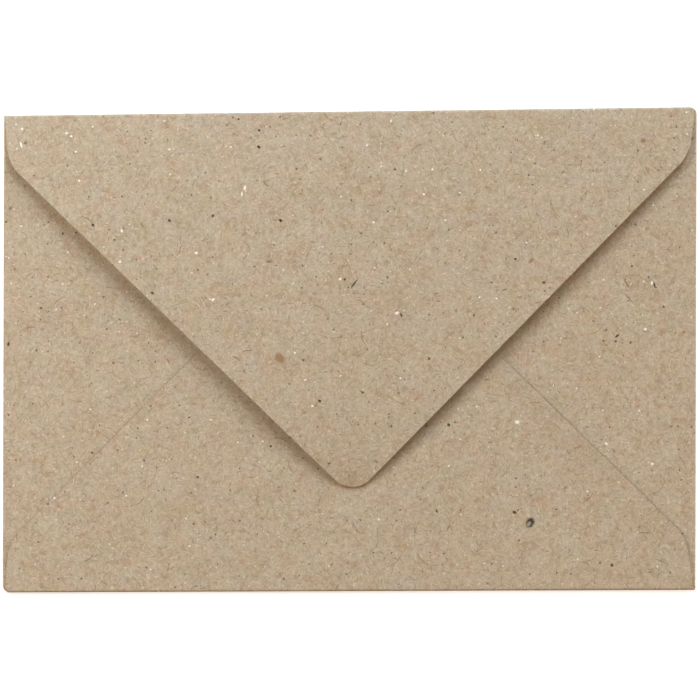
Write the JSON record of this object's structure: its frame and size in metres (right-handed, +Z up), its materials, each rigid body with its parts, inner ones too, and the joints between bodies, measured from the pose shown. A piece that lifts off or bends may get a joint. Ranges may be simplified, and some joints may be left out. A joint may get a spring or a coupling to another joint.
{
  "type": "paper envelope",
  "caption": "Empty letter envelope of recycled kraft paper, folded and glued from one sheet, with pointed side, bottom and top flaps; the top flap is closed and unsealed.",
  "frame": {"origin": "under the middle of the closed envelope, on the surface that it lies on", "axes": "+X along the long side, to the right as the flap side is read; +Y up the envelope, from the bottom fold to the top fold; +Z up, out of the flap side"},
  "size_m": [0.162, 0.1139, 0.003],
  "materials": {
    "kraft_paper": "matt recycled paper with dark and white flecks and short brown fibres"
  },
  "bodies": {
    "root": {"envelope": "kraft_paper"}
  },
  "joints": []
}
